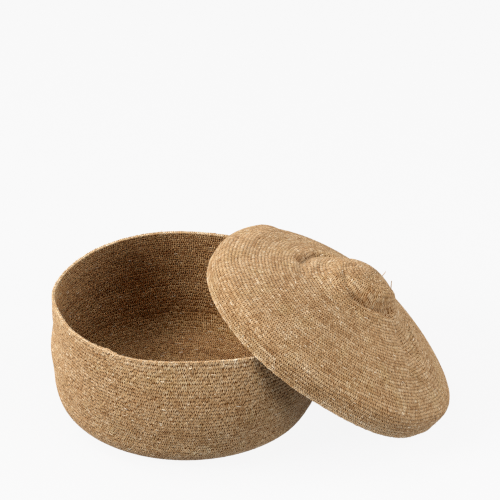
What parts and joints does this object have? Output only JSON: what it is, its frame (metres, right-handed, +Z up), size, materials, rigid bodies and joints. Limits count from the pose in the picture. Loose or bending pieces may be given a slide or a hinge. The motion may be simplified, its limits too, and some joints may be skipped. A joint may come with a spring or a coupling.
{
  "type": "lidded seagrass basket",
  "caption": "Round flat-bottomed storage basket stitched from seagrass cord, with a conical domed-knob lid leaning against its rim.",
  "frame": {"origin": "centre of the basket's flat underside", "axes": "+Z up, along the basket's axis; +X towards the side that the lid leans on; -Y is the front"},
  "size_m": [0.4368, 0.3129, 0.191],
  "materials": {
    "basket_cord": "stitched seagrass cord, golden tan, matt with a dry sheen",
    "lid_cord": "stitched seagrass cord, pale tan, matt with a dry sheen",
    "loose_straw": "single dry straw"
  },
  "bodies": {
    "basket": {"basket_floor_centre": "basket_cord", "basket_floor_coil": "basket_cord", "basket_heel_coil": "basket_cord", "basket_wall_coil": "basket_cord", "basket_rim_round": "basket_cord", "basket_cord_end": "basket_cord", "basket_straw_end": "loose_straw"},
    "lid": {"lid_crown": "lid_cord", "lid_knob_coil": "lid_cord", "lid_neck_coil": "lid_cord", "lid_slope_coil": "lid_cord", "lid_edge_coil": "lid_cord", "lid_edge_round": "lid_cord", "lid_straw_ends": "loose_straw"}
  },
  "joints": [
    {"name": "lid_lift", "type": "slide", "parent": "basket", "child": "lid", "axis": [0, 0, 1], "range_m": [0, 0.25]}
  ]
}
